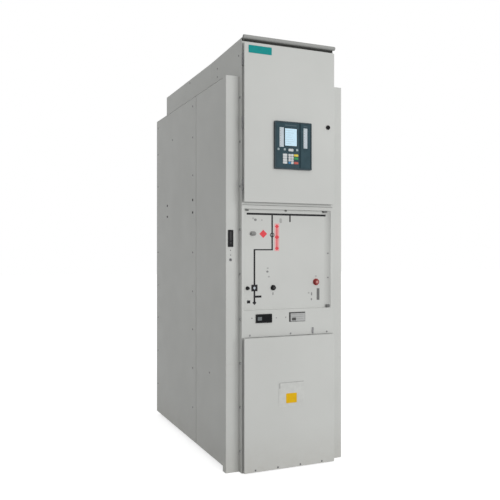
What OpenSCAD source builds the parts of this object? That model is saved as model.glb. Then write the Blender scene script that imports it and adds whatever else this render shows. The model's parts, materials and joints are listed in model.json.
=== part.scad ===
// Free-standing medium-voltage gas-insulated switchgear panel with an end wall on each side.
// Millimetres, +Z up. The origin is on the floor, under the middle of the panel's box.
// Depths are measured from the front face of the low-voltage door towards the back.

/* [Cabinet] */
// Width of the sheet-steel cabinet between its outer side faces
cabinet_w = 566; // [500:1:700]
// Depth of the cabinet from its front frame to its back
cabinet_d = 1447; // [1200:1:1700]
// Height of the flat rear roof
cabinet_h = 2336; // [2250:1:2420]
// Thickness of the folded housing sheets
sheet_t = 3; // [2:0.5:4]
// Seam left open between neighbouring covers
seam = 1.5; // [1:0.5:5]
// How far the rear covers lie inside the cabinet's back edge
rear_set = 3; // [2.5:0.5:6]

/* [Front] */
// Width of the low-voltage door and of the cable cover
front_w = 556; // [480:1:560]
// How far the door and the cable cover stand in front of the frame
front_reach = 25; // [22:0.5:40]
// Folded depth of the door and cover pans
pan_d = 10; // [8:0.5:11]
// Inner bend radius of the pans' upright edges
bend_in = 1; // [0.5:0.5:3]
// Width of the frame flanges behind the door and the cover
frame_w = 25; // [22:1:40]
// Depth of the frame posts and rails
frame_d = 25; // [15:1:40]
// Clearance between the cable cover and the floor
floor_gap = 5; // [3:1:15]
// Height of the cable compartment cover
cover_h = 724; // [600:1:760]
// Height of the mechanism cover in the middle, with the seam above it
mech_h = 720; // [690:1:760]
// Height of the rail strip that shows below the door
strip_h = 14; // [10:1:40]
// Gap between the low-voltage door's upper edge and the roof
door_gap = 11; // [6:1:20]

/* [Low-voltage compartment] */
// Depth of the compartment behind the frame
lv_d = 475; // [380:1:600]
// How far its roof rises above the rear roof at the front
roof_rise = 15; // [5:1:40]
// Radius of the rolled lip along the front edge of the roof
lip_r = 11; // [10:0.5:14]
// Radius that rounds the lip's ends
lip_end = 5; // [3:0.5:5]
// How far the lip stands above the roof sheet
lip_up = 11; // [4:1:16]
// How far the lip stands in front of the door
lip_reach = 6; // [5:1:11]

/* [Door fittings] */
// Width of the protection relay's front
relay_w = 227; // [200:1:240]
// Height of the protection relay's front
relay_h = 262; // [220:1:290]
// How far the relay's front stands out of the door
relay_reach = 14; // [11:1:25]
// Margin of the relay's front around its case
relay_rim = 8; // [4:1:20]
// Width of the raised edge around the relay's front
relay_edge = 6; // [4:1:12]
// Depth of the field inside that edge
relay_sunk = 3; // [1:0.5:6]
// Corner radius of the relay's front
relay_r = 5; // [3:1:8]
// Depth of the relay's case behind the door
relay_d = 200; // [120:1:240]
// Middle of the relay, to the right of the door's middle
relay_x = 11; // [-40:1:40]
// Middle of the relay above the door's lower edge, as a share of the door's height
relay_ratio = 0.368; // [0.25:0.002:0.6]
// Diameter of the round door lock
lock_dia = 24; // [18:1:36]
// How far the lock stands out of the door
lock_reach = 8; // [5:1:11]
// Distance of the lock from the door's free edge
lock_edge = 43; // [30:1:60]
// Height of the lock above the door's lower edge, as a share of the door's height
lock_ratio = 0.506; // [0.3:0.002:0.7]
// Diameter of the lock's spindle
spindle_dia = 12; // [8:1:16]
// Length of the lock's cam
cam_l = 30; // [20:1:36]
// Thickness of the lock's cam
cam_t = 3; // [2:0.5:3]
// Gap between the cam and the door sheet
cam_gap = 1; // [0.5:0.5:2]
// Radial clearance of the lock's spindle in the door
lock_play = 0.3; // [0.1:0.1:0.6]

/* [Hinges] */
// Number of door hinges
hinge_n = 3; // [2:1:4]
// Outer diameter of the hinge knuckles
knuckle_dia = 9; // [8:0.5:10]
// Length of one knuckle
knuckle_l = 32; // [20:1:50]
// Diameter of the hinge pins
pin_dia = 5; // [4:0.5:6]
// Radial clearance of the pins
pin_play = 0.1; // [0.05:0.01:0.2]
// Gap between the two knuckles of a hinge
knuckle_gap = 0.4; // [0.2:0.1:1]
// Gap between the knuckles and the door pan
knuckle_back = 1; // [0.5:0.5:2]
// Width of a hinge leaf
leaf_w = 10; // [8:1:12]
// Thickness of the door's hinge leaf
leaf_t = 3; // [2:0.5:4]
// Distance from the door's ends to the outer hinges
hinge_end = 90; // [60:1:160]

/* [Seals] */
// Width of the rubber seals
seal_w = 8; // [5:1:10]
// Distance of a seal from the inner edge of its frame
seal_in = 2; // [1:1:4]
// Thickness of the door's seal
seal_t = 8; // [5:0.5:9]

/* [Control recess] */
// Left edge of the recess, from the panel's middle
recess_left = 268; // [256:1:274]
// Right edge of the recess, from the panel's middle
recess_right = 268; // [230:1:274]
// Distance from the foot of the mechanism cover to the recess
recess_foot = 147; // [132:1:220]
// Distance from the top of the mechanism cover to the recess
recess_top = 20; // [12:1:50]
// Depth of the recess behind the mechanism cover
recess_d = 15; // [15:1:25]
// Width of the cove that eases the right side of the recess
cove_w = 34; // [26:1:38]
// Radius of that cove
cove_r = 56; // [50:1:90]

/* [Controls] */
// Diameter of the red knob
red_dia = 38; // [25:1:50]
// Diameter of the black operating knob
black_dia = 30; // [20:1:40]
// Diameter of the small black knob
small_dia = 21; // [14:1:24]
// Width of the grey selector knob
selector_w = 34; // [28:1:44]
// Height of the grey selector knob
selector_h = 25; // [18:1:26]
// How far the knobs stand out of the control board
knob_reach = 16; // [10:1:17]
// Middle of the red knob, to the right of the panel's middle
red_x = 182; // [120:1:205]
// Row of the red knob above the foot of the recess
red_z = 147; // [80:1:200]
// Middle of the black operating knob, to the left of the panel's middle
black_x = 87; // [40:1:120]
// Middle of the small black knob, to the left of the panel's middle
small_x = 241; // [200:1:243]
// Row of the black knobs above the foot of the recess
black_z = 120; // [60:1:160]
// Middle of the selector knob, to the left of the panel's middle
selector_x = 209; // [150:1:220]
// Row of the selector knob below the top of the recess
selector_drop = 134; // [60:1:240]
// Height of the skirt around the foot of a knob
knob_skirt = 5; // [3:0.5:8]
// Share of a knob's diameter that its grip keeps
knob_grip = 0.72; // [0.5:0.02:0.9]
// Width of the voltage indicator's bezel
indicator_w = 96; // [72:1:144]
// Height of the voltage indicator's bezel
indicator_h = 48; // [36:1:72]
// How far the indicator's bezel stands out
indicator_reach = 6; // [3:0.5:10]
// Width of the indicator's raised edge
indicator_edge = 5; // [3:1:10]
// Depth of the indicator's window inside that edge
indicator_sunk = 2; // [1:0.5:2.5]
// Corner radius of the indicator's bezel
indicator_r = 3; // [1:0.5:5]
// Middle of the indicator, to the left of the panel's middle
indicator_x = 152; // [90:1:190]
// Middle of the indicator above the foot of the mechanism cover
indicator_z = 101; // [70:1:115]

/* [End walls] */
// Thickness of an end wall
wall_w = 78; // [50:1:100]
// How far the end walls stay below the rear roof
wall_drop = 186; // [110:1:330]
// How far the end walls' front stands behind the door's front
wall_set = 61; // [50:1:90]
// Depth of the folded nose at the front of an end wall
nose_d = 45; // [30:1:70]
// Height of the joint in the nose
nose_joint = 587; // [400:1:800]
// Depth of the vertical joint in the side sheets behind the door's front
side_joint = 569; // [400:1:900]
// Gap of that joint
joint_gap = 5; // [3:0.5:10]
// Width of the folds that turn in at that joint
joint_fold = 20; // [12:1:30]
// Clearance between the side sheets and the floor
wall_foot = 26; // [10:1:40]
// How far the side sheets lie inside the nose's outer face
side_set = 3; // [2.5:0.5:6]
// Radius of the nose's outer edge
nose_r = 5; // [2:1:12]
// Width of the flush handle
handle_w = 31; // [20:1:44]
// Height of the flush handle
handle_h = 92; // [60:1:140]
// How far the handle's rim stands out
handle_reach = 4; // [2:1:10]
// Width of the handle's rim around its finger pocket
handle_rim = 5; // [3:1:8]
// Corner radius of the handle's rim
handle_r = 4; // [2:1:6]
// Height of the handle's middle
handle_z = 1268; // [900:1:1600]
// Middle of the handle from the outer face of its wall
handle_in = 28; // [24:1:40]
// Diameter of the small key lock below the handle
key_dia = 17; // [12:1:24]
// Distance of the key lock below the handle's middle
key_drop = 115; // [90:1:200]

/* [Base] */
// Width of the base rails
rail_w = 60; // [50:1:90]
// Thickness of the base rails
rail_t = 10; // [6:1:20]
// Diameter of the floor fixing holes
hole_dia = 14; // [10:1:18]
// Distance of the fixing holes from the rails' outer edges
hole_in = 22; // [18:1:24]
// Distance of the fixing holes from the rails' ends
hole_end = 100; // [60:1:200]
// How far the floor plate lies on each rail
plate_lap = 18; // [10:1:20]

/* [Hidden] */
$fn = 64;

// How far a cut runs past the face it opens
over = 1;

light_grey = [0.78, 0.79, 0.77];
mid_grey = [0.55, 0.56, 0.55];
black = [0.08, 0.08, 0.09];
slate = [0.18, 0.27, 0.33];
red = [0.75, 0.15, 0.12];
steel = [0.62, 0.63, 0.64];

// Overall box and the depth of each front plane
reach_max = max(relay_reach, lock_reach, lip_reach);
back_d = front_reach + cabinet_d;
door_y = reach_max - (reach_max + back_d) / 2;
sheet_d = front_reach + sheet_t;
frame_back = front_reach + frame_d;
lv_back = front_reach + lv_d;
wall_back = back_d - sheet_t;
nose_back = wall_set + nose_d;
rear_d = wall_back - rear_set;

// Half widths
half_w = cabinet_w / 2;
half_in = half_w - sheet_t;
half_open = half_w - frame_w;
half_front = front_w / 2;
half_all = half_w + wall_w;
half_side = half_all - side_set;

// Levels
cover_top = floor_gap + cover_h;
mech_z = cover_top + seam;
mech_top = mech_z + mech_h;
fascia_top = mech_top - seam;
roof_under = cabinet_h - sheet_t;
door_z = mech_top + strip_h;
door_top = roof_under - door_gap;
door_h = door_top - door_z;
cross_top = door_z + frame_w;
roof_front_z = cabinet_h + roof_rise;
lip_top = roof_front_z + lip_up;
lip_d = lip_r - lip_reach;
top_rail_top = roof_under;
top_rail_z = door_top - frame_w;
wall_h = cabinet_h - wall_drop;
recess_z0 = mech_z + recess_foot;
recess_z1 = fascia_top - recess_top;
recess_h = recess_z1 - recess_z0;
board_d = sheet_d + recess_d;
cove_d = board_d - front_reach;
cove_chord = norm([cove_w, cove_d]);
cove_mid = sqrt(cove_r * cove_r - cove_chord * cove_chord / 4) / cove_chord;
relay_mid_z = door_z + relay_ratio * door_h;
lock_mid_z = door_z + lock_ratio * door_h;

// Hinge axis in the shadow gap beside the door
hinge_x = -(half_front + leaf_t);
hinge_d = pan_d + knuckle_back + knuckle_dia / 2;

// A block between two corners, with its depth measured from the door's front
module block(x, d, z) {
    translate([x[0], door_y + d[0], z[0]])
        cube([x[1] - x[0], d[1] - d[0], z[1] - z[0]]);
}

// The same block on the side that hand names: -1 is left, 1 is right
module side_block(hand, x, d, z) {
    block(hand < 0 ? [-x[1], -x[0]] : x, d, z);
}

// A cylinder along the depth, centred on x and z
module stub(x, z, dia, d) {
    translate([x, door_y + d[0], z])
        rotate([-90, 0, 0])
            cylinder(d = dia, h = d[1] - d[0]);
}

// A plan outline drawn with its depth measured from the door's front, raised between two levels
module upright(z) {
    translate([0, door_y, z[0]])
        linear_extrude(z[1] - z[0])
            children();
}

// A side outline of depth and height, extruded between two widths
module across(x) {
    translate([x[0], door_y, 0])
        rotate([90, 0, 90])
            linear_extrude(x[1] - x[0])
                children();
}

// An upright plate seen from the front, with an outline in width and height
module face_plate(d) {
    translate([0, door_y + d[1], 0])
        rotate([90, 0, 0])
            linear_extrude(d[1] - d[0])
                children();
}

// A rectangle with round corners, made of two bars and four discs
module round_rect(w, h, r) {
    square([w - 2 * r, h], center = true);
    square([w, h - 2 * r], center = true);
    for (sx = [-1, 1], sz = [-1, 1])
        translate([sx * (w / 2 - r), sz * (h / 2 - r)])
            circle(r);
}

// A round-cornered plate with a field sunk into its front inside a raised edge
module sunk_plate(d, w, h, r, edge, sunk) {
    difference() {
        face_plate(d)
            round_rect(w, h, r);
        face_plate([d[0] - over, d[0] + sunk])
            round_rect(w - 2 * edge, h - 2 * edge, r);
    }
}

// A folded pan: a front sheet with its four edges turned back
module pan(z) {
    difference() {
        upright(z)
            bent_outline(half_front, [0, pan_d], bend_in + sheet_t);
        upright([z[0] + sheet_t, z[1] - sheet_t])
            bent_outline(half_front - sheet_t, [sheet_t, pan_d + over], bend_in);
    }
}

// Plan outline of a folded sheet with its two front edges bent to a radius
module bent_outline(half, d, r) {
    translate([-half, d[0] + r])
        square([2 * half, d[1] - d[0] - r]);
    translate([r - half, d[0]])
        square([2 * (half - r), d[1] - d[0]]);
    for (side = [-1, 1])
        translate([side * (half - r), d[0] + r])
            circle(r);
}

// A flat frame of rubber around an opening
module seal_ring(d, open_x, z) {
    out_x = open_x + seal_in + seal_w;
    in_x = open_x + seal_in;
    difference() {
        block([-out_x, out_x], d, [z[0] - seal_in - seal_w, z[1] + seal_in + seal_w]);
        block([-in_x, in_x], [d[0] - over, d[1] + over], [z[0] - seal_in, z[1] + seal_in]);
    }
}

// A post of the front frame: a flange that caps the side sheet, and a bar behind it
module post(hand, z) {
    upright(z)
        mirror([hand < 0 ? 1 : 0, 0])
            polygon([[half_open, front_reach], [half_w, front_reach], [half_w, sheet_d],
                     [half_in, sheet_d], [half_in, frame_back], [half_open, frame_back]]);
}

// A rail of the front frame between two posts
module rail(z) {
    block([-half_open, half_open], [front_reach, frame_back], z);
}

// A base rail with its two floor fixing holes
module base_rail(hand) {
    rail_d = [frame_back, rear_d];
    hole_x = hand * (half_in - hole_in);
    color(mid_grey)
        difference() {
            side_block(hand, [half_in - rail_w, half_in], rail_d, [0, rail_t]);
            for (d = [rail_d[0] + hole_end, rail_d[1] - hole_end])
                translate([hole_x, door_y + d, -over])
                    cylinder(d = hole_dia, h = rail_t + 2 * over);
        }
}

module floor_plate() {
    plate_x = half_in - rail_w + plate_lap;
    color(mid_grey)
        block([-plate_x, plate_x], [frame_back, rear_d], [rail_t, rail_t + sheet_t]);
}

module lower_side(hand) {
    color(light_grey)
        side_block(hand, [half_in, half_w], [sheet_d, back_d], [0, mech_top]);
}

module upper_side(hand) {
    color(light_grey)
        side_block(hand, [half_in, half_w], [lv_back, back_d], [mech_top, roof_under]);
}

// Underside of the sloping front roof at a depth behind the door's front
function roof_under_at(d) =
    roof_front_z - sheet_t - roof_rise * (d + lip_reach) / (lv_back + lip_reach);

module lv_side(hand) {
    x = hand < 0 ? [-half_w, -half_in] : [half_in, half_w];
    color(light_grey)
        across(x)
            polygon([[sheet_d, mech_top], [lv_back, mech_top], [lv_back, roof_under],
                     [sheet_d, roof_under_at(sheet_d)]]);
}

module rear_cover(z) {
    color(light_grey)
        block([-half_in, half_in], [rear_d, rear_d + sheet_t], z);
}

module roof_rear() {
    color(light_grey)
        block([-half_w, half_w], [lv_back, back_d], [roof_under, cabinet_h]);
}

// A round bar across the width with rounded ends, on a line of one depth and height
module rounded_bar(half, r, end_r, d, z) {
    translate([-half, door_y + d, z])
        rotate([0, 90, 0])
            rotate_extrude() {
                square([r - end_r, 2 * half]);
                translate([0, end_r])
                    square([r, 2 * (half - end_r)]);
                for (at = [end_r, 2 * half - end_r])
                    translate([r - end_r, at])
                        circle(end_r);
            }
}

// The sloping roof sheet and the rolled lip along its front edge
module roof_front() {
    color(light_grey) {
        across([-half_w, half_w])
            polygon([[lip_d, roof_under_at(lip_d) + sheet_t], [lv_back, cabinet_h],
                     [lv_back, roof_under], [lip_d, roof_under_at(lip_d)]]);
        rounded_bar(half_w, lip_r, lip_end, lip_d, lip_top - lip_r);
    }
}

module lv_floor() {
    color(light_grey)
        block([-half_in, half_in], [frame_back, lv_back - sheet_t], [mech_top, mech_top + sheet_t]);
}

module lv_back_wall() {
    color(light_grey)
        block([-half_in, half_in], [lv_back - sheet_t, lv_back], [mech_top, roof_under]);
}

module lv_post(hand) {
    color(light_grey)
        post(hand, [mech_top, top_rail_top]);
}

module lv_top_rail() {
    color(light_grey)
        rail([top_rail_z, top_rail_top]);
}

module cross_rail() {
    color(light_grey)
        rail([mech_top, cross_top]);
}

module cable_post(hand) {
    color(light_grey)
        post(hand, [0, cover_top]);
}

module cable_top_rail() {
    color(light_grey)
        rail([cover_top - frame_w, cover_top]);
}

module cable_sill() {
    color(light_grey)
        rail([0, floor_gap + frame_w]);
}

module cable_cover() {
    color(light_grey)
        pan([floor_gap, cover_top]);
}

module cable_cover_seal() {
    color(black)
        seal_ring([sheet_t, front_reach], half_open, [floor_gap + frame_w, cover_top - frame_w]);
}

module lv_door_seal() {
    color(black)
        seal_ring([front_reach - seal_t, front_reach], half_open, [cross_top, top_rail_z]);
}

// The recess in width and height, grown on every side
module recess_outline(grow) {
    translate([-recess_left - grow, recess_z0 - grow])
        square([recess_left + recess_right + 2 * grow, recess_h + 2 * grow]);
}

// A cove from the control board up to the right edge of the recess
module recess_cove() {
    upright([recess_z0 - over, recess_z1 + over])
        difference() {
            translate([recess_right - cove_w, front_reach])
                square([cove_w + over, cove_d]);
            translate([recess_right - cove_w / 2 - cove_d * cove_mid,
                       front_reach + cove_d / 2 - cove_w * cove_mid])
                circle(cove_r);
        }
}

// The full-width middle cover, folded back around the control recess
module mechanism_cover() {
    color(light_grey) {
        difference() {
            union() {
                block([-half_w, half_w], [front_reach, sheet_d], [mech_z, fascia_top]);
                face_plate([front_reach, board_d])
                    recess_outline(sheet_t);
            }
            face_plate([front_reach - over, board_d + over])
                recess_outline(0);
        }
        recess_cove();
    }
}

module control_board() {
    color(light_grey)
        face_plate([board_d, board_d + sheet_t])
            recess_outline(sheet_t);
}

// A turned knob on the control board, with a narrower grip in front of its skirt
module knob(x, z, dia) {
    stub(x, z, dia, [board_d - knob_skirt, board_d]);
    stub(x, z, dia * knob_grip, [board_d - knob_reach, board_d - knob_skirt]);
}

module selector_knob() {
    color(mid_grey)
        translate([-selector_x, 0, recess_z1 - selector_drop])
            face_plate([board_d - knob_reach, board_d]) {
                square([selector_w - selector_h, selector_h], center = true);
                for (side = [-1, 1])
                    translate([side * (selector_w - selector_h) / 2, 0])
                        circle(d = selector_h);
            }
}

module black_knobs() {
    color(black) {
        knob(-black_x, recess_z0 + black_z, black_dia);
        knob(-small_x, recess_z0 + black_z, small_dia);
    }
}

module red_knob() {
    color(red)
        knob(red_x, recess_z0 + red_z, red_dia);
}

module voltage_indicator() {
    color(black)
        translate([-indicator_x, 0, mech_z + indicator_z])
            sunk_plate([front_reach - indicator_reach, front_reach], indicator_w, indicator_h,
                       indicator_r, indicator_edge, indicator_sunk);
}

// Heights of the lower ends of the hinges
function hinge_zs() = [
    for (i = [0 : hinge_n - 1])
        door_z + hinge_end - knuckle_l + i * (door_h - 2 * hinge_end) / (hinge_n - 1)
];

// One upright cylinder on the hinge axis
module on_axis(dia, z) {
    translate([hinge_x, door_y + hinge_d, z[0]])
        cylinder(d = dia, h = z[1] - z[0]);
}

// The fixed lower knuckles, with their leaves on the post and their pins
module frame_hinges() {
    color(steel)
        for (z = hinge_zs()) {
            on_axis(knuckle_dia, [z, z + knuckle_l]);
            on_axis(pin_dia, [z, z + 2 * knuckle_l]);
            block([hinge_x, hinge_x + leaf_w], [hinge_d + knuckle_dia / 4, front_reach],
                  [z, z + knuckle_l]);
        }
}

// The door's upper knuckles, with their leaves on the folded edge of the pan
module door_hinges() {
    color(steel)
        for (z = hinge_zs()) {
            knuckle_z = [z + knuckle_l + knuckle_gap, z + 2 * knuckle_l];
            difference() {
                union() {
                    on_axis(knuckle_dia, knuckle_z);
                    block([hinge_x, hinge_x + leaf_w], [pan_d, pan_d + leaf_t], knuckle_z);
                }
                on_axis(pin_dia + 2 * pin_play, [knuckle_z[0] - over, knuckle_z[1] + over]);
            }
        }
}

// The door pan, cut out for the relay's case and the lock's spindle
module lv_door() {
    color(light_grey)
        difference() {
            pan([door_z, door_top]);
            relay_block([-over, pan_d], relay_rim);
            stub(half_front - lock_edge, lock_mid_z, spindle_dia + 2 * lock_play, [-over, pan_d]);
        }
}

// The relay's outline, drawn in by a margin
module relay_block(d, margin) {
    block([relay_x - relay_w / 2 + margin, relay_x + relay_w / 2 - margin], d,
          [relay_mid_z - relay_h / 2 + margin, relay_mid_z + relay_h / 2 - margin]);
}

module relay_front() {
    color(slate)
        translate([relay_x, 0, relay_mid_z])
            sunk_plate([-relay_reach, 0], relay_w, relay_h, relay_r, relay_edge, relay_sunk);
}

module relay_case() {
    color(mid_grey)
        relay_block([0, relay_d], relay_rim);
}

// A round swivel lock with its spindle and cam behind the door
module door_lock() {
    x = half_front - lock_edge;
    z = lock_mid_z;
    cam_d = sheet_t + cam_gap;
    color(black) {
        stub(x, z, lock_dia, [-lock_reach, 0]);
        stub(x, z, spindle_dia, [-over, cam_d + cam_t]);
        block([x - cam_l + spindle_dia / 2, x + spindle_dia / 2], [cam_d, cam_d + cam_t],
              [z - spindle_dia / 2, z + spindle_dia / 2]);
    }
}

// The folded front strip of an end wall, with a rounded outer edge
module wall_nose(hand, z) {
    color(light_grey)
        upright(z)
            mirror([hand < 0 ? 1 : 0, 0]) {
                translate([half_w, wall_set])
                    square([wall_w - nose_r, nose_d]);
                translate([half_w, wall_set + nose_r])
                    square([wall_w, nose_d - nose_r]);
                translate([half_all - nose_r, wall_set + nose_r])
                    circle(nose_r);
            }
}

// Plan of one face of a side sheet: a rectangle with a round corner at the joint.
// facing is 1 where the joint is the sheet's rear edge and -1 where it is its front edge.
module side_outline(hand, facing, x, d, r) {
    mirror([hand < 0 ? 1 : 0, 0])
        mirror([0, facing < 0 ? 1 : 0]) {
            translate([x[0], d[0]])
                square([x[1] - x[0], d[1] - d[0] - r]);
            translate([x[0], d[0]])
                square([x[1] - x[0] - r, d[1] - d[0]]);
            translate([x[1] - r, d[1] - r])
                circle(r);
        }
}

// A side sheet of an end wall from its fixed edge to the joint, where it is folded in
module wall_side(hand, facing, fixed, joint) {
    z = [wall_foot, wall_h - sheet_t - seam];
    d = [facing * fixed, facing * joint];
    color(light_grey)
        difference() {
            upright(z)
                side_outline(hand, facing, [half_side - joint_fold, half_side], d,
                             bend_in + sheet_t);
            upright([z[0] - over, z[1] + over])
                side_outline(hand, facing, [half_side - joint_fold - over, half_side - sheet_t],
                             [d[0] - over, d[1] - sheet_t], bend_in);
        }
}

module wall_cap(hand) {
    color(light_grey)
        side_block(hand, [half_w, half_side], [nose_back, back_d], [wall_h - sheet_t, wall_h]);
}

module wall_back_sheet(hand) {
    color(light_grey)
        side_block(hand, [half_w, half_side - sheet_t], [wall_back, back_d],
                   [wall_foot, wall_h - sheet_t]);
}

// The black flush handle in the left nose: a rim around a finger pocket
module end_wall_handle() {
    x = -half_all + handle_in;
    color(black)
        translate([x, 0, handle_z])
            sunk_plate([wall_set - handle_reach, wall_set], handle_w, handle_h,
                       handle_r, handle_rim, handle_reach / 2);
}

module end_wall_lock() {
    color(steel)
        stub(-half_all + handle_in, handle_z - key_drop, key_dia, [wall_set - handle_reach / 2, wall_set]);
}

nose_split = [nose_joint, wall_h];
rear_joint = side_joint + joint_gap;

base_rail(-1);  // base_rail_left
base_rail(1);  // base_rail_right
floor_plate();
lower_side(-1);  // lower_side_left
lower_side(1);  // lower_side_right
upper_side(-1);  // upper_side_left
upper_side(1);  // upper_side_right
lv_side(-1);  // lv_side_left
lv_side(1);  // lv_side_right
rear_cover([0, mech_top - seam]);  // rear_lower_cover
rear_cover([mech_top, roof_under]);  // rear_upper_cover
roof_rear();
roof_front();
lv_floor();
lv_back_wall();
lv_post(-1);  // lv_post_left
lv_post(1);  // lv_post_right
lv_top_rail();
cross_rail();
cable_post(-1);  // cable_post_left
cable_post(1);  // cable_post_right
cable_top_rail();
cable_sill();
cable_cover();
cable_cover_seal();
mechanism_cover();
control_board();
selector_knob();
black_knobs();
red_knob();
voltage_indicator();
lv_door_seal();
frame_hinges();
lv_door();
relay_front();
relay_case();
door_lock();
door_hinges();
wall_nose(-1, nose_split);  // left_wall_nose_upper
wall_nose(-1, [0, nose_joint]);  // left_wall_nose_lower
wall_side(-1, 1, nose_back, side_joint);  // left_wall_side_front
wall_side(-1, -1, back_d, rear_joint);  // left_wall_side_rear
wall_cap(-1);  // left_wall_cap
wall_back_sheet(-1);  // left_wall_back
wall_nose(1, nose_split);  // right_wall_nose_upper
wall_nose(1, [0, nose_joint]);  // right_wall_nose_lower
wall_side(1, 1, nose_back, side_joint);  // right_wall_side_front
wall_side(1, -1, back_d, rear_joint);  // right_wall_side_rear
wall_cap(1);  // right_wall_cap
wall_back_sheet(1);  // right_wall_back
end_wall_handle();
end_wall_lock();
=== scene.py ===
import json
import math

import bmesh
import bpy
from mathutils import Matrix, Vector


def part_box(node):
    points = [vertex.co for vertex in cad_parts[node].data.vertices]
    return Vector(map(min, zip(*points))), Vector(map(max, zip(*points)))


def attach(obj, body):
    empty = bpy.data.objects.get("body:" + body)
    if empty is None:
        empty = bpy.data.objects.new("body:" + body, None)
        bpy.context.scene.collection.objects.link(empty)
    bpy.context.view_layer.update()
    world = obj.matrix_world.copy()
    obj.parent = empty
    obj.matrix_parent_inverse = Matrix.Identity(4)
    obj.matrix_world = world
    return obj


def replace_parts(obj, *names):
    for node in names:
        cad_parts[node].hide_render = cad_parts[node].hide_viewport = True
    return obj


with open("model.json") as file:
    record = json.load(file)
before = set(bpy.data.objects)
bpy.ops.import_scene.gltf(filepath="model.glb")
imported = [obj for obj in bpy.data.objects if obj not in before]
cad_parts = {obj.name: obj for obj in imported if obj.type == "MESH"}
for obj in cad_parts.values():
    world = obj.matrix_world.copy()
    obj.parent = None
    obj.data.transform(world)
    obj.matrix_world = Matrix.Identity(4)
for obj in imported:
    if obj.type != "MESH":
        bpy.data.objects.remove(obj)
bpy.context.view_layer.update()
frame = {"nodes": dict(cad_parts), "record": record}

MM = 0.001
RIGHT_ANGLE = math.radians(90)
CABINET = "cabinet"
DOOR = "low_voltage_door"

# Directions that a fitting can face
FRONT = Vector((0, -1, 0))
REAR = Vector((0, 1, 0))
LEFT = Vector((-1, 0, 0))
RIGHT = Vector((1, 0, 0))


def metres(*lengths):
    """Lengths in millimetres, turned to metres."""
    return tuple(length * MM for length in lengths)


def about(mid, half):
    """The two ends of a length, from its middle and half of it."""
    return mid - half, mid + half


def inset(span, margin):
    """A length with a margin taken off at both ends."""
    return span[0] + margin, span[1] - margin


def middle(low, high):
    return (low + high) / 2


# The planes that the fittings stand on, read from the frame

def front_of(node):
    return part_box(node)[0].y


def back_of(node):
    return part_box(node)[1].y


DOOR_Y = front_of("lv_door")
COVER_Y = front_of("cable_cover")
FASCIA_Y = front_of("mechanism_cover")
BOARD_Y = front_of("control_board")
NOSE_Y = front_of("left_wall_nose_upper")
REAR_Y = back_of("rear_upper_cover")
SIDE_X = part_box("lv_side_right")[1].x
WALL_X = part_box("right_wall_side_front")[1].x
SEAM_Y = front_of("left_wall_side_rear")


# Materials

# Sockets of a Mix node that carry colours
MIX_A = 6
MIX_B = 7
MIX_RESULT = 2

# The range that most of a noise texture lies in
NOISE_LOW = 0.3
NOISE_HIGH = 0.7

# The face attribute that marks rounded edges
EASED = "eased"


def shader(name):
    """A new material with its node tree, its main shader and the piece's own coordinates."""
    material = bpy.data.materials.new(name)
    material.use_nodes = True
    tree = material.node_tree
    bsdf = tree.nodes["Principled BSDF"]
    coords = tree.nodes.new("ShaderNodeTexCoord").outputs["Object"]
    return material, tree, bsdf, coords


def noise(tree, coords, scale, detail=2.0, roughness=0.5):
    node = tree.nodes.new("ShaderNodeTexNoise")
    node.inputs["Scale"].default_value = scale
    node.inputs["Detail"].default_value = detail
    node.inputs["Roughness"].default_value = roughness
    tree.links.new(coords, node.inputs["Vector"])
    return node.outputs["Fac"]


def spread(tree, value, low, high, to_low=0.0, to_high=1.0):
    """Stretches a value from one range to another."""
    node = tree.nodes.new("ShaderNodeMapRange")
    node.inputs["From Min"].default_value = low
    node.inputs["From Max"].default_value = high
    node.inputs["To Min"].default_value = to_low
    node.inputs["To Max"].default_value = to_high
    tree.links.new(value, node.inputs["Value"])
    return node.outputs["Result"]


def mottle(tree, coords, scale, detail, low=NOISE_LOW, high=NOISE_HIGH, to_low=0.0, to_high=1.0):
    """Noise, stretched from its own range to another."""
    return spread(tree, noise(tree, coords, scale, detail), low, high, to_low, to_high)


def worked_out(tree, operation, a, b):
    """A value worked out from two others, each a number or another node's output."""
    node = tree.nodes.new("ShaderNodeMath")
    node.operation = operation
    for socket, value in zip(node.inputs, (a, b)):
        if isinstance(value, float):
            socket.default_value = value
        else:
            tree.links.new(value, socket)
    return node.outputs["Value"]


def product(tree, a, b):
    return worked_out(tree, "MULTIPLY", a, b)


def larger(tree, a, b):
    return worked_out(tree, "MAXIMUM", a, b)


def mixed(tree, factor, a, b):
    """A colour between a and b, each a colour or another node's output."""
    node = tree.nodes.new("ShaderNodeMix")
    node.data_type = "RGBA"
    tree.links.new(factor, node.inputs["Factor"])
    for socket, value in ((node.inputs[MIX_A], a), (node.inputs[MIX_B], b)):
        if isinstance(value, tuple):
            socket.default_value = (*value, 1.0)
        else:
            tree.links.new(value, socket)
    return node.outputs[MIX_RESULT]


def shade(colour, share):
    return tuple(channel * share for channel in colour)


def varied(tree, factor, colour, low, high):
    """A colour that goes from a low to a high share of itself."""
    return mixed(tree, factor, shade(colour, low), shade(colour, high))


def bumped(tree, bsdf, height, strength, distance, under=None):
    """Gives the shader a bump, on top of the one under it where there is one."""
    node = tree.nodes.new("ShaderNodeBump")
    node.inputs["Strength"].default_value = strength
    node.inputs["Distance"].default_value = distance
    tree.links.new(height, node.inputs["Height"])
    if under is not None:
        tree.links.new(under, node.inputs["Normal"])
    tree.links.new(node.outputs["Normal"], bsdf.inputs["Normal"])
    return node.outputs["Normal"]


# The paint's dust at the foot, worn edges and painted shade on the roof's lip: the dust's colour and height,
# and shares of the tone
DUST = (0.44, 0.42, 0.38)
DUST_TOP = 0.22
DUST_SHARE = 0.55
WORN_SHARE = 1.12
LIP_SHADE_SHARE = 0.58
LIP_SHADE_BLEND = 1 * MM


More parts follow.
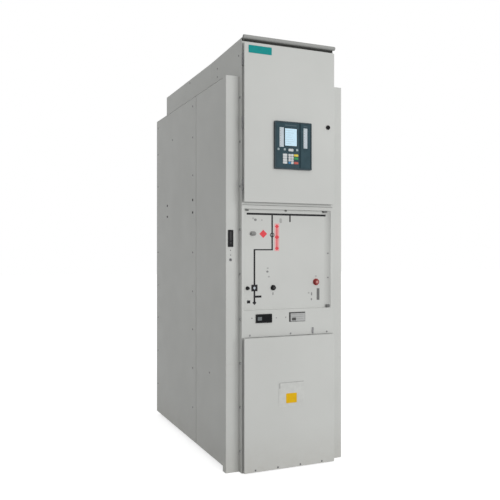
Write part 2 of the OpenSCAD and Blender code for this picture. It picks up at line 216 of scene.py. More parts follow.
def powder_coat(name, colour, lip_shade_y=None):
    """Baked powder paint on sheet steel: orange peel, slight waves in the sheet, dust at the foot,
    and thinner, lighter paint on the folded edges. What lies in front of the given depth is painted shade:
    the roof's lip darkened to stand in for the shade on it."""
    material, tree, bsdf, coords = shader(name)
    broad = mottle(tree, coords, scale=1.7, detail=3.0)
    tone = varied(tree, broad, colour, low=0.965, high=1.025)
    axes = tree.nodes.new("ShaderNodeSeparateXYZ")
    tree.links.new(coords, axes.inputs["Vector"])
    near_foot = spread(tree, axes.outputs["Z"], 0.0, DUST_TOP, to_low=DUST_SHARE, to_high=0.0)
    dust = product(tree, near_foot, noise(tree, coords, scale=22.0, detail=5.0, roughness=0.62))
    tone = mixed(tree, dust, tone, DUST)
    edge = tree.nodes.new("ShaderNodeAttribute")
    edge.attribute_name = EASED
    thin = mottle(tree, coords, scale=60.0, detail=4.0, low=0.35, high=0.65, to_high=0.5)
    worn = product(tree, edge.outputs["Fac"], thin)
    tone = mixed(tree, worn, tone, shade(colour, WORN_SHARE))
    # Painted shade: the roof's lip, in front of the given depth, is darkened as if it lay in shade.
    if lip_shade_y is not None:
        painted_lip_shade = spread(tree, axes.outputs["Y"], lip_shade_y, lip_shade_y + LIP_SHADE_BLEND, to_low=1.0, to_high=0.0)
        tone = mixed(tree, painted_lip_shade, tone, shade(colour, LIP_SHADE_SHARE))
    tree.links.new(tone, bsdf.inputs["Base Color"])
    gloss = mottle(tree, coords, scale=9.0, detail=4.0, to_low=0.52, to_high=0.62)
    tree.links.new(gloss, bsdf.inputs["Roughness"])
    bsdf.inputs["Specular IOR Level"].default_value = 0.25
    waves = bumped(tree, bsdf, noise(tree, coords, scale=2.6, detail=1.0), strength=0.10, distance=0.012)
    bumped(tree, bsdf, noise(tree, coords, scale=520.0), strength=0.12, distance=0.0004, under=waves)
    return material


def plated_steel(name, dark, light):
    """Plated steel with a faint crystal figure between two tones."""
    material, tree, bsdf, coords = shader(name)
    crystals = tree.nodes.new("ShaderNodeTexVoronoi")
    crystals.inputs["Scale"].default_value = 140.0
    tree.links.new(coords, crystals.inputs["Vector"])
    figure = spread(tree, crystals.outputs["Distance"], low=0.0, high=0.9)
    tree.links.new(mixed(tree, figure, dark, light), bsdf.inputs["Base Color"])
    bsdf.inputs["Metallic"].default_value = 0.8
    dull = mottle(tree, coords, scale=45.0, detail=4.0, to_low=0.42, to_high=0.56)
    tree.links.new(dull, bsdf.inputs["Roughness"])
    bumped(tree, bsdf, noise(tree, coords, scale=700.0), strength=0.08, distance=0.0003)
    return material


# How far handling takes the roughness up or down
HANDLED = 0.06


def moulded(name, colour, roughness=0.5):
    """Moulded plastic with a spark-eroded grain and handled, shinier patches."""
    material, tree, bsdf, coords = shader(name)
    patch = mottle(tree, coords, scale=30.0, detail=4.0)
    tree.links.new(varied(tree, patch, colour, low=0.90, high=1.08), bsdf.inputs["Base Color"])
    shiny, matt = about(roughness, HANDLED)
    sheen = mottle(tree, coords, scale=24.0, detail=3.0, to_low=shiny, to_high=matt)
    tree.links.new(sheen, bsdf.inputs["Roughness"])
    bsdf.inputs["Specular IOR Level"].default_value = 0.06
    bumped(tree, bsdf, noise(tree, coords, scale=900.0, detail=3.0), strength=0.16, distance=0.0004)
    return material


def rubber(name, colour, bloomed):
    """Rubber with a paler bloom on it in places."""
    material, tree, bsdf, coords = shader(name)
    bloom = mottle(tree, coords, scale=18.0, detail=5.0, low=0.35, high=0.75)
    tree.links.new(mixed(tree, bloom, colour, bloomed), bsdf.inputs["Base Color"])
    bsdf.inputs["Roughness"].default_value = 0.82
    bumped(tree, bsdf, noise(tree, coords, scale=1200.0), strength=0.2, distance=0.0003)
    return material


def film(name, colour, roughness=0.35):
    """Printed film or a lacquered plate: nearly flat, with a fine tooth."""
    material, tree, bsdf, coords = shader(name)
    fade = mottle(tree, coords, scale=40.0, detail=3.0)
    tree.links.new(varied(tree, fade, colour, low=0.94, high=1.04), bsdf.inputs["Base Color"])
    bsdf.inputs["Roughness"].default_value = roughness
    bsdf.inputs["Specular IOR Level"].default_value = 0.08
    bumped(tree, bsdf, noise(tree, coords, scale=1500.0), strength=0.06, distance=0.0002)
    return material


def display(name, colour, glow, shine):
    """A liquid-crystal screen behind clear plastic, with faint cells, lit where it glows."""
    material, tree, bsdf, coords = shader(name)
    cells = mottle(tree, coords, scale=90.0, detail=2.0, low=0.35, high=0.65)
    tone = varied(tree, cells, colour, low=0.94, high=1.0)
    tree.links.new(tone, bsdf.inputs["Base Color"])
    tree.links.new(tone, bsdf.inputs["Emission Color"])
    bsdf.inputs["Emission Strength"].default_value = glow
    bsdf.inputs["Roughness"].default_value = 0.22
    bsdf.inputs["Specular IOR Level"].default_value = shine
    return material


PAINT_GREY = (0.560, 0.568, 0.548)
# How far behind the door's front the roof's lip reaches; all of it gets painted shade.
LIP_SHADE_DEPTH = 16 * MM
paint = powder_coat("housing_paint", PAINT_GREY)
roof_paint_and_lip_shade = powder_coat("roof_paint_and_lip_shade", PAINT_GREY, lip_shade_y=DOOR_Y + LIP_SHADE_DEPTH)
zinc = plated_steel("zinc_steel", (0.265, 0.27, 0.275), (0.315, 0.32, 0.325))
dark_steel = plated_steel("dark_steel", (0.125, 0.125, 0.128), (0.175, 0.175, 0.179))
bolt_steel = plated_steel("bolt_steel", (0.21, 0.21, 0.213), (0.27, 0.27, 0.274))
seal = rubber("seal_rubber", (0.020, 0.020, 0.021), (0.045, 0.045, 0.046))
black = moulded("black_plastic", (0.020, 0.020, 0.021))
graphite = moulded("graphite_plastic", (0.055, 0.055, 0.056))
grey = moulded("grey_plastic", (0.29, 0.292, 0.285))
red = moulded("red_plastic", (0.285, 0.046, 0.043), roughness=0.42)
rose = moulded("rose_plastic", (0.50, 0.24, 0.22), roughness=0.42)
slate = moulded("relay_slate", (0.055, 0.078, 0.090), roughness=0.42)
slate_dark = moulded("relay_field", (0.033, 0.066, 0.081), roughness=0.40)
slate_deep = moulded("relay_groove", (0.012, 0.032, 0.042), roughness=0.40)
slate_button = moulded("relay_button", (0.085, 0.120, 0.140), roughness=0.40)
white_film = film("strip_white", (0.52, 0.58, 0.62))
pale_plate = film("pale_plate", (0.585, 0.592, 0.572), roughness=0.42)
steel_plate = film("silver_plate", (0.44, 0.445, 0.44), roughness=0.36)
teal_plate = film("teal_plate", (0.004, 0.262, 0.255), roughness=0.30)
yellow_plate = film("yellow_plate", (0.74, 0.44, 0.008), roughness=0.36)
ink_black = film("ink_black", (0.020, 0.020, 0.022), roughness=0.48)
ink_dark = film("ink_dark", (0.085, 0.086, 0.084), roughness=0.50)
ink_mid = film("ink_mid", (0.165, 0.166, 0.163), roughness=0.50)
ink_grey = film("ink_grey", (0.25, 0.252, 0.248), roughness=0.50)
ink_pale = film("ink_pale", (0.40, 0.404, 0.392), roughness=0.50)
ink_red = film("ink_red", (0.72, 0.070, 0.085), roughness=0.42)
ink_pink = film("ink_pink", (0.78, 0.38, 0.38), roughness=0.45)
screen_ink = film("screen_ink", (0.36, 0.47, 0.53), roughness=0.40)
screen_glass = display("screen_blue", (0.46, 0.64, 0.75), glow=0.26, shine=0.12)
dark_glass = display("dark_glass", (0.010, 0.011, 0.012), glow=0.0, shine=0.03)
small_display = display("small_display", (0.15, 0.165, 0.17), glow=0.0, shine=0.03)
key_white = moulded("key_white", (0.60, 0.625, 0.63), roughness=0.40)
key_grey = moulded("key_grey", (0.34, 0.41, 0.43), roughness=0.40)
key_yellow = moulded("key_yellow", (0.70, 0.55, 0.08), roughness=0.40)
key_green = moulded("key_green", (0.05, 0.30, 0.10), roughness=0.40)
key_red = moulded("key_red", (0.52, 0.12, 0.10), roughness=0.40)
key_blue = moulded("key_blue", (0.06, 0.22, 0.42), roughness=0.40)
lamp_green = film("lamp_green", (0.12, 0.36, 0.17), roughness=0.25)
lamp_red = film("lamp_red", (0.30, 0.19, 0.185), roughness=0.25)

# The finish of a CAD piece, by its slot, or by its node where that differs
FINISH = {
    "housing_paint": paint,
    "zinc_steel": zinc,
    "seal_rubber": seal,
    "black_plastic": black,
    "relay_slate": slate,
}
# Painted shade: the hinges are dark steel so that they read as the shaded gap at the door's left edge that
# they sit in.
NODE_FINISH = {"roof_front": roof_paint_and_lip_shade, "frame_hinges": dark_steel, "door_hinges": dark_steel}


# Shapes

WELD = 1e-6
FLAT_ANGLE = math.radians(0.5)
CRISP_ANGLE = math.radians(30)
SMOOTH_ANGLE = math.radians(50)
EDGE_SEGMENTS = 2
CORNER_SEGMENTS = 4

# How many sides a turned shape has
FINE_TURN = 40
TURN = 32
SMALL_TURN = 24
HEAD_TURN = 14
LAMP_TURN = 12


def eased(bm, edges, width, segments=EDGE_SEGMENTS):
    """Rounds edges and marks the new faces, so that the paint can thin there."""
    mark = bm.faces.layers.float.get(EASED) or bm.faces.layers.float.new(EASED)
    made = bmesh.ops.bevel(
        bm, geom=edges, offset=width, offset_type="OFFSET", affect="EDGES",
        segments=segments, profile=0.5, material=-1, clamp_overlap=True,
    )
    for face in made["faces"]:
        face[mark] = 1.0
    return made


def slab(bm, low, high):
    """A block between two corners."""
    made = bmesh.ops.create_cube(bm, size=1.0)["verts"]
    size = Vector(high) - Vector(low)
    bmesh.ops.scale(bm, vec=size, verts=made)
    bmesh.ops.translate(bm, vec=(Vector(low) + Vector(high)) / 2, verts=made)
    return made


def edges_of(verts):
    return list({edge for vert in verts for edge in vert.link_edges})


def plate(bm, x, z, back, thick, corner=0.0, edge=0.0):
    """A plate facing the front, between two widths and two heights, with round corners and an eased rim."""
    verts = slab(bm, (x[0], back - thick, z[0]), (x[1], back, z[1]))
    if corner:
        deep = [e for e in edges_of(verts) if abs(e.verts[0].co.y - e.verts[1].co.y) > thick / 2]
        made = eased(bm, deep, corner, CORNER_SEGMENTS)
        verts = list({v for f in made["faces"] for v in f.verts})
    if edge:
        rim = [e for e in edges_of(verts) if all(abs(v.co.y - back + thick) < WELD for v in e.verts)]
        eased(bm, rim, edge)


def turned(bm, foot, outward, profile, steps):
    """Turns a profile of (radius, height) pairs about the line through foot along outward."""
    across = outward.orthogonal().normalized()
    points = [bm.verts.new(foot + across * radius + outward * height) for radius, height in profile]
    lines = [bm.edges.new(pair) for pair in zip(points, points[1:])]
    bmesh.ops.spin(
        bm, geom=points + lines, cent=foot, axis=outward, angle=math.tau, steps=steps, use_merge=True,
    )


def scaled(profile, radius, height):
    """A profile with its radii and its heights each multiplied by a length or a share."""
    return [(across * radius, out * height) for across, out in profile]


def drum(radius, foot, top):
    """The profile of a plain disc or pin between two heights."""
    return [(0.0, top), (radius, top), (radius, foot), (0.0, foot)]


def shown(name, mesh, material, body):
    """Gives a mesh its shading, finish and body."""
    for face in mesh.polygons:
        face.use_smooth = True
    mesh.set_sharp_from_angle(angle=SMOOTH_ANGLE)
    mesh.materials.clear()
    mesh.materials.append(material)
    obj = bpy.data.objects.new(name, mesh)
    bpy.context.scene.collection.objects.link(obj)
    flat = obj.modifiers.new("flat_faces", "WEIGHTED_NORMAL")
    flat.keep_sharp = True
    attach(obj, body)
    return obj


def piece(name, bm, material, body=CABINET):
    """Makes a finished piece of a mesh, on its body and with its finish."""
    bmesh.ops.remove_doubles(bm, verts=bm.verts, dist=WELD)
    bmesh.ops.recalc_face_normals(bm, faces=bm.faces)
    mesh = bpy.data.meshes.new(name)
    bm.to_mesh(mesh)
    bm.free()
    return shown(name, mesh, material, body)


def plates(name, spans, back, material, body=CABINET, *, thick, corner=0.0, edge=0.0):
    """One piece made of a plate at each pair of widths and heights."""
    bm = bmesh.new()
    for x, z in spans:
        plate(bm, x, z, back, thick, corner, edge)
    piece(name, bm, material, body)


def dressed(node, slot, body, width):
    """A CAD piece with its sharp outer edges eased, standing in for the node."""
    bm = bmesh.new()
    bm.from_mesh(frame["nodes"][node].data)
    bmesh.ops.remove_doubles(bm, verts=bm.verts, dist=WELD)
    bmesh.ops.dissolve_limit(bm, angle_limit=FLAT_ANGLE, verts=bm.verts, edges=bm.edges)
    outer = [e for e in bm.edges if len(e.link_faces) == 2 and e.is_convex]
    eased(bm, [e for e in outer if e.calc_face_angle() > CRISP_ANGLE], width)
    mesh = bpy.data.meshes.new(node + "_dressed")
    bm.to_mesh(mesh)
    bm.free()
    obj = shown(node + "_dressed", mesh, NODE_FINISH.get(node, FINISH[slot]), body)
    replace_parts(obj, node)


# The CAD pieces, each with eased edges and its finish

EDGE_PLAIN = 0.8 * MM
EDGE_OF_NODE = {
    "lv_door": 1.2 * MM,
    "cable_cover": 1.2 * MM,
    "mechanism_cover": 1.2 * MM,
    "relay_front": 1.5 * MM,
    "end_wall_handle": 1.0 * MM,
    "door_hinges": 0.4 * MM,
    "frame_hinges": 0.4 * MM,
}

# Nodes that finer shapes stand in for, further down
REMADE = {"selector_knob", "black_knobs", "red_knob", "door_lock", "end_wall_lock"}

bodies = frame["record"]["behaviour"]["bodies"]
body_of_node = {node: body for body, nodes in bodies.items() for node in nodes}
for part in frame["record"]["subparts"]:
    node, slot = part["node"], part["material_slot"]
    if node not in REMADE:
        dressed(node, slot, body_of_node[node], EDGE_OF_NODE.get(node, EDGE_PLAIN))


# Knobs and locks, turned to finer shapes than their solids, and the handle's lever

# A skirt, a waisted grip and a slightly sunk cap, as shares of the radius and the reach
KNOB_PROFILE = (
    (0.0, 0.95), (0.44, 0.95), (0.50, 1.0), (0.66, 1.0), (0.72, 0.93), (0.70, 0.40), (0.76, 0.30),
    (0.95, 0.26), (1.0, 0.18), (1.0, 0.0), (0.0, 0.0),
)
knob_low, knob_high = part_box("black_knobs")
KNOB_REACH = BOARD_Y - knob_low.y
BLACK_RADIUS = (knob_high.z - knob_low.z) / 2
SMALL_RADIUS = 10.5 * MM
BLACK_X = knob_high.x - BLACK_RADIUS
SMALL_X = knob_low.x + SMALL_RADIUS
BLACK_Z = middle(knob_low.z, knob_high.z)


def knob_at(bm, x, z, radius):
    turned(bm, Vector((x, BOARD_Y, z)), FRONT, scaled(KNOB_PROFILE, radius, KNOB_REACH), FINE_TURN)


bm = bmesh.new()
knob_at(bm, BLACK_X, BLACK_Z, BLACK_RADIUS)
knob_at(bm, SMALL_X, BLACK_Z, SMALL_RADIUS)
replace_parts(piece("black_operating_knobs", bm, black), "black_knobs")

red_low, red_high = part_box("red_knob")
RED_RADIUS = (red_high.z - red_low.z) / 2
RED_X = middle(red_low.x, red_high.x)
RED_Z = middle(red_low.z, red_high.z)
bm = bmesh.new()
knob_at(bm, RED_X, RED_Z, RED_RADIUS)
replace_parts(piece("red_release_knob", bm, red), "red_knob")

# The caps' heights, from the top of the knob
CAP_FOOT = -1.0 * MM
CAP_TOP = -0.2 * MM
RED_CAP_RADIUS = 8 * MM
BLACK_CAP_RADIUS = 0.43 * BLACK_RADIUS


def knob_cap(name, x, z, radius, material):
    """A disc set into the top of a knob."""
    bm = bmesh.new()
    turned(bm, Vector((x, BOARD_Y - KNOB_REACH, z)), FRONT, drum(radius, CAP_FOOT, CAP_TOP), SMALL_TURN)
    piece(name, bm, material)


knob_cap("red_knob_cap", RED_X, RED_Z, RED_CAP_RADIUS, rose)
knob_cap("black_knob_cap", BLACK_X, BLACK_Z, BLACK_CAP_RADIUS, graphite)

# The selector: a rounded skirt, and a bar across it to grip
selector_low, selector_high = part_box("selector_knob")
SELECTOR_Z = middle(selector_low.z, selector_high.z)
SELECTOR_H = selector_high.z - selector_low.z
SELECTOR_REACH = selector_high.y - selector_low.y
SKIRT_REACH = 0.45 * SELECTOR_REACH
SKIRT_ROUND = 0.49 * SELECTOR_H
GRIP_FOOT = 0.4 * SELECTOR_REACH
GRIP_IN = 3 * MM
GRIP_HALF = 4 * MM
GRIP_ROUND = 3.5 * MM
SELECTOR_EDGE = 1.2 * MM
bm = bmesh.new()
plate(bm, (selector_low.x, selector_high.x), (selector_low.z, selector_high.z), BOARD_Y,
      SKIRT_REACH, SKIRT_ROUND, SELECTOR_EDGE)
plate(bm, inset((selector_low.x, selector_high.x), GRIP_IN), about(SELECTOR_Z, GRIP_HALF),
      BOARD_Y - GRIP_FOOT, SELECTOR_REACH - GRIP_FOOT, GRIP_ROUND, SELECTOR_EDGE)
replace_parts(piece("grey_selector_knob", bm, grey), "selector_knob")

# The door's lock: a collar round a well with a pin in it, and a spindle with a cam behind the door.
# The collar's radii are in millimetres, its heights are shares of the reach.
COLLAR_RADIUS = 12
COLLAR_PROFILE = (
    (0.0, 0.80), (2.2, 0.80), (2.2, 0.35), (6.5, 0.35), (7.0, 0.85), (7.8, 1.0), (10.4, 1.0),
    (COLLAR_RADIUS, 0.75), (COLLAR_RADIUS, 0.0), (0.0, 0.0),
)
lock_low, lock_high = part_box("door_lock")
LOCK_X = lock_high.x - COLLAR_RADIUS * MM
LOCK_Z = middle(lock_low.z, lock_high.z)
LOCK_REACH = DOOR_Y - lock_low.y
SPINDLE_RADIUS = 6 * MM
CAM_Y = lock_high.y
CAM_T = 3 * MM
CAM_L = 30 * MM
lock_foot = Vector((LOCK_X, DOOR_Y, LOCK_Z))
bm = bmesh.new()
turned(bm, lock_foot, FRONT, scaled(COLLAR_PROFILE, MM, LOCK_REACH), FINE_TURN)
turned(bm, lock_foot, REAR, drum(SPINDLE_RADIUS, 0.0, CAM_Y - DOOR_Y), TURN)
slab(bm, (LOCK_X - CAM_L + SPINDLE_RADIUS, CAM_Y - CAM_T, LOCK_Z - SPINDLE_RADIUS),
     (LOCK_X + SPINDLE_RADIUS, CAM_Y, LOCK_Z + SPINDLE_RADIUS))
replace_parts(piece("swivel_lock", bm, black, DOOR), "door_lock")

# The key lock on the left nose. Its radii are in millimetres, its heights are shares of the reach.
barrel_low, barrel_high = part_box("end_wall_lock")
BARREL_RADIUS = (barrel_high.z - barrel_low.z) / 2 / MM
BARREL_REACH = NOSE_Y - barrel_low.y
BARREL_X = middle(barrel_low.x, barrel_high.x)
BARREL_Z = middle(barrel_low.z, barrel_high.z)
BARREL_PROFILE = (
    (0.0, 0.35), (3.2, 0.35), (3.4, 0.9), (4.6, 1.0), (7.2, 1.0),
    (BARREL_RADIUS, 0.5), (BARREL_RADIUS, 0.0), (0.0, 0.0),
)
SLOT_PROFILE = drum(3.1, foot=0.36, top=0.5)
barrel_foot = Vector((BARREL_X, NOSE_Y, BARREL_Z))
bm = bmesh.new()
turned(bm, barrel_foot, FRONT, scaled(BARREL_PROFILE, MM, BARREL_REACH), TURN)
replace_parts(piece("nose_key_lock", bm, dark_steel), "end_wall_lock")
bm = bmesh.new()
turned(bm, barrel_foot, FRONT, scaled(SLOT_PROFILE, MM, BARREL_REACH), SMALL_TURN)
piece("nose_key_slot", bm, ink_black)

# The lever in the flush handle's pocket and the button under it, whose profile is in millimetres
BUTTON_PROFILE = ((0.0, 0.9), (3.2, 0.9), (3.6, 1.5), (5.0, 1.5), (5.4, 0.9), (5.4, 0.0), (0.0, 0.0))
handle_low, handle_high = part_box("end_wall_handle")
HANDLE_X = middle(handle_low.x, handle_high.x)
HANDLE_Z = middle(handle_low.z, handle_high.z)
POCKET_Y = middle(handle_low.y, handle_high.y)
LEVER_HALF = 5 * MM
LEVER_Z = (HANDLE_Z - 12 * MM, HANDLE_Z + 38 * MM)
BUTTON_Z = HANDLE_Z - 24 * MM
bm = bmesh.new()
plate(bm, about(HANDLE_X, LEVER_HALF), LEVER_Z, POCKET_Y, thick=1.6 * MM, corner=4 * MM, edge=0.6 * MM)
turned(bm, Vector((HANDLE_X, POCKET_Y, BUTTON_Z)), FRONT, scaled(BUTTON_PROFILE, MM, MM), TURN)
piece("handle_lever", bm, graphite)


# The door: blank plate and the relay's modules, screen, lamps and keys

NAME_PLATE = (metres(-253, -116), metres(2267, 2308))
plates("blank_name_plate", [NAME_PLATE], DOOR_Y, teal_plate, DOOR,
       thick=1.5 * MM, corner=2.0 * MM, edge=0.5 * MM)

relay_low, relay_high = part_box("relay_front")
RELAY_SUNK = 3 * MM
FIELD_MARGIN = 8 * MM
FIELD_Y = relay_low.y + RELAY_SUNK
MODULE_T = 1.2 * MM
MODULE_Y = FIELD_Y - MODULE_T
GROOVE_X = metres(47, 57)
GROOVE_GAP = 0.5 * MM
field_x = inset((relay_low.x, relay_high.x), FIELD_MARGIN)
field_z = inset((relay_low.z, relay_high.z), FIELD_MARGIN)
left_module = ((field_x[0], GROOVE_X[0]), field_z)
right_module = ((GROOVE_X[1], field_x[1]), field_z)
groove = (inset(GROOVE_X, GROOVE_GAP), field_z)
plates("relay_modules", [left_module, right_module], FIELD_Y, slate_dark, DOOR,
       thick=MODULE_T, corner=3 * MM, edge=0.5 * MM)
plates("relay_groove", [groove], FIELD_Y, slate_deep, DOOR,
       thick=0.3 * MM, corner=2 * MM, edge=0.1 * MM)

STRIP_T = 0.5 * MM
LEFT_STRIP = (metres(-74, -48.5), metres(1770, 1877))
RIGHT_STRIP = (metres(73.5, 97), metres(1769, 1880))
LAMP_STRIPS = (LEFT_STRIP, RIGHT_STRIP)
plates("lamp_strips", LAMP_STRIPS, MODULE_Y, white_film, DOOR,
       thick=STRIP_T, corner=1.5 * MM, edge=0.15 * MM)

# A low dome, in millimetres
LAMP_PROFILE = ((0.0, 0.9), (1.0, 0.75), (1.8, 0.2), (1.8, 0.0), (0.0, 0.0))
LAMP_COUNT = 8
LAMP_IN = 4 * MM


def lamp_places(strip):
    (left, _), (low, high) = strip
    pitch = (high - low) / LAMP_COUNT
    rows = [low + (row + 0.5) * pitch for row in range(LAMP_COUNT)]
    return [Vector((left + LAMP_IN, MODULE_Y - STRIP_T, z)) for z in rows]


lit_red = bmesh.new()
lit_green = bmesh.new()
for strip in LAMP_STRIPS:
    *lower, top = lamp_places(strip)
    for place in lower:
        turned(lit_red, place, FRONT, scaled(LAMP_PROFILE, MM, MM), LAMP_TURN)
    turned(lit_green, top, FRONT, scaled(LAMP_PROFILE, MM, MM), LAMP_TURN)
piece("red_lamps", lit_red, lamp_red, DOOR)
piece("green_lamps", lit_green, lamp_green, DOOR)

SCREEN_X = metres(-41, 31)
SCREEN_Z = metres(1778, 1873)
SCREEN_RIM = 3 * MM
RIM_T = 0.6 * MM
SCREEN_T = 0.5 * MM
SCREEN_Y = MODULE_Y - RIM_T
rim = (inset(SCREEN_X, -SCREEN_RIM), inset(SCREEN_Z, -SCREEN_RIM))
plates("screen_rim", [rim], MODULE_Y, black, DOOR,
       thick=RIM_T, corner=2.5 * MM, edge=0.3 * MM)
plates("screen", [(SCREEN_X, SCREEN_Z)], SCREEN_Y, screen_glass, DOOR,
       thick=SCREEN_T, corner=1.0 * MM, edge=0.2 * MM)

# Plain bars from the foot up, each as long as its share of the screen's width
ROW_SHARES = (0.44, 0.68, 0.60, 0.52, 0.44, 0.68, 0.60)
ROW_HALF = 0.6 * MM
ROW_X = SCREEN_X[0] + 5 * MM
screen_w = SCREEN_X[1] - SCREEN_X[0]
row_pitch = (SCREEN_Z[1] - SCREEN_Z[0]) / (len(ROW_SHARES) + 1)
rows = [
    ((ROW_X, ROW_X + share * screen_w), about(SCREEN_Z[0] + row * row_pitch, ROW_HALF))
    for row, share in enumerate(ROW_SHARES, start=1)
]
plates("screen_rows", rows, SCREEN_Y - SCREEN_T, screen_ink, DOOR,
       thick=0.1 * MM)

# The relay's keys, with their rows, columns, widths and heights in millimetres
KEY_T = 1.6 * MM
KEY_EDGE = 0.5 * MM
KEY_ROUND = 0.22
KEY_ROWS = (1727, 1713, 1699, 1685)
KEY_H = 12.8
NARROW_W = 15
NARROW_COLUMNS = (-13, 3.5)
WIDE_W = 26
WIDE_COLUMN = -41
COLOUR_COLUMN = 27
COLOUR_H = 12
GREEN_DROP = 3
BAR_KEY = (-5, 1755, 30, 14)
SQUARE_KEYS = ((-81, 1757, 12, 12), (-43, 1757, 12, 12), (33, 1757, 12, 12))


def keys(name, places, material):
    """One piece made of a rounded key at each place on the relay's left module."""
    bm = bmesh.new()
    for x, z, w, h in places:
        plate(bm, metres(*about(x, w / 2)), metres(*about(z, h / 2)), MODULE_Y, KEY_T,
              corner=KEY_ROUND * min(w, h) * MM, edge=KEY_EDGE)
    piece(name, bm, material, DOOR)


keys("grey_keys", SQUARE_KEYS, key_grey)
white_keys = [BAR_KEY] + [(WIDE_COLUMN, z, WIDE_W, KEY_H) for z in KEY_ROWS]
white_keys += [(x, z, NARROW_W, KEY_H) for z in KEY_ROWS[:3] for x in NARROW_COLUMNS]
white_keys += [(NARROW_COLUMNS[1], KEY_ROWS[3], NARROW_W, KEY_H)]
keys("white_keys", white_keys, key_white)
keys("blue_key", [(NARROW_COLUMNS[0], KEY_ROWS[3], NARROW_W, COLOUR_H)], key_blue)
keys("yellow_key", [(COLOUR_COLUMN, KEY_ROWS[0], WIDE_W, COLOUR_H)], key_yellow)
keys("green_key", [(COLOUR_COLUMN, KEY_ROWS[1] - GREEN_DROP, WIDE_W, COLOUR_H)], key_green)
keys("red_key", [(COLOUR_COLUMN, KEY_ROWS[3], WIDE_W, COLOUR_H)], key_red)

BLANK_STRIP_Z = metres(1888, 1893)
blank_strips = [(metres(-40, 30), BLANK_STRIP_Z), (metres(75, 98), BLANK_STRIP_Z)]
plates("relay_blank_strips", blank_strips, MODULE_Y, slate_button, DOOR,
       thick=0.3 * MM, corner=0.8 * MM, edge=0.1 * MM)


# The control board: mimic diagram, small marks and clips, with places and sizes in millimetres

# Prints that cross differ in thickness, so that their fronts don't share a plane
INK_T = 0.5 * MM
FEED_T = 0.9 * INK_T
JOG_T = 0.8 * INK_T
CABLE_T = 0.7 * INK_T
RING_T = 1.2 * INK_T
FIELD_T = 1.5 * INK_T
PINK_T = 0.6 * INK_T
COLUMN_T = 0.9 * INK_T
SIGN_T = 1.1 * INK_T
MARK_T = 0.4 * INK_T
DARK_STRIP_T = 0.8 * INK_T


def ink(bm, x, z, thick=INK_T):
    plate(bm, metres(*x), metres(*z), BOARD_Y, thick)


def ring(bm, x, z, outer, inner, thick):
    profile = [(inner, 0.0), (inner, thick), (outer, thick), (outer, 0.0), (inner, 0.0)]
    turned(bm, Vector((x * MM, BOARD_Y, z * MM)), FRONT, scaled(profile, MM, 1.0), TURN)


def diamond(bm, x, z, reach, thick=INK_T):
    """A flat four-cornered sign standing on one corner."""
    upright = Matrix.Translation((x * MM, BOARD_Y, z * MM)) @ Matrix.Rotation(RIGHT_ANGLE, 4, "X")
    made = bmesh.ops.create_circle(bm, cap_ends=True, segments=4, radius=reach * MM, matrix=upright)["verts"]
    top = bmesh.ops.extrude_face_region(bm, geom=[made[0].link_faces[0]])["geom"]
    bmesh.ops.translate(bm, vec=FRONT * thick, verts=[g for g in top if isinstance(g, bmesh.types.BMVert)])


# The recess rounds forward at its right side: where that starts, and the centre and radius of the arc
COVE_X = 234
COVE_MID = (226.39, -12.48)
COVE_R = 56
COVE_STEPS = 4


def cove_point(x, z, out=0.0):
    """A point on the rounded side of the recess, or that far in front of it, and the way it faces."""
    across = x - COVE_MID[0]
    deep = math.sqrt(COVE_R ** 2 - across ** 2)
    facing = Vector((-across, -deep, 0)).normalized()
    return Vector((x * MM, DOOR_Y + (COVE_MID[1] + deep) * MM, z * MM)) + facing * out, facing


def cove_angle(x):
    """How far round the arc a point on the rounded side is."""
    return math.asin((x - COVE_MID[0]) / COVE_R)


# The diagram's lines and signs: middles, ends, half widths and reaches
FEED_X = -93
CABLE_X = -200
BUS_X = (-246, 244)
BUS_LAP = 0.2
STUB_X = (13, 21)
STUB_Z = 1362
BUS_Z = 1403
JOG_Z = 1207
BREAKER_Z = 998
FOOT_Z = 913
BUS_HALF = 5.5
FEED_HALF = 4.5
JOG_HALF = 3.5
CABLE_HALF = 5
BREAKER_HALF_W = 18.5
BREAKER_HALF_H = 18
FIELD_REACH = 8.5
ARROW_Z = FOOT_Z + 4
ARROW_REACH = 12
RING_Z = 1288.5
RING_OUTER = 13
RING_INNER = 9
BRANCH_MARK = ((-197, -158), (944.5, 956))
FOOT_MARK = ((-244, -225), (915, 931))


def bus_end(bm):
    """The busbar's last piece: its section, swept along the rounded side."""
    low, high = about(BUS_Z, BUS_HALF)
    corners = ((low, 0.0), (low, INK_T), (high, INK_T), (high, 0.0))
    section = bm.faces.new([bm.verts.new(cove_point(COVE_X, z, out)[0]) for z, out in corners])
    bmesh.ops.spin(
        bm, geom=[*section.verts, *section.edges, section], axis=(0, 0, -1),
        cent=(COVE_MID[0] * MM, DOOR_Y + COVE_MID[1] * MM, 0),
        angle=cove_angle(BUS_X[1]) - cove_angle(COVE_X), steps=COVE_STEPS,
    )


bm = bmesh.new()
ink(bm, (BUS_X[0], COVE_X + BUS_LAP), about(BUS_Z, BUS_HALF))
bus_end(bm)
ink(bm, about(FEED_X, FEED_HALF), (JOG_Z - JOG_HALF, BUS_Z), FEED_T)
ink(bm, (CABLE_X - CABLE_HALF, FEED_X), about(JOG_Z, JOG_HALF), JOG_T)
ink(bm, about(CABLE_X, CABLE_HALF), (FOOT_Z, JOG_Z), CABLE_T)
ink(bm, STUB_X, (STUB_Z, BUS_Z), FEED_T)
ink(bm, about(CABLE_X, BREAKER_HALF_W), about(BREAKER_Z, BREAKER_HALF_H))
diamond(bm, CABLE_X, ARROW_Z, ARROW_REACH)
ink(bm, *BRANCH_MARK)
ink(bm, *FOOT_MARK)
ring(bm, FEED_X, RING_Z, RING_OUTER, RING_INNER, RING_T)
piece("mimic_lines", bm, ink_black)

bm = bmesh.new()
diamond(bm, CABLE_X, BREAKER_Z, FIELD_REACH, FIELD_T)
piece("mimic_breaker_field", bm, white_film)

RED_SIGN = (-147, 1294, 23)
bm = bmesh.new()
diamond(bm, *RED_SIGN)
piece("mimic_red_sign", bm, ink_red)

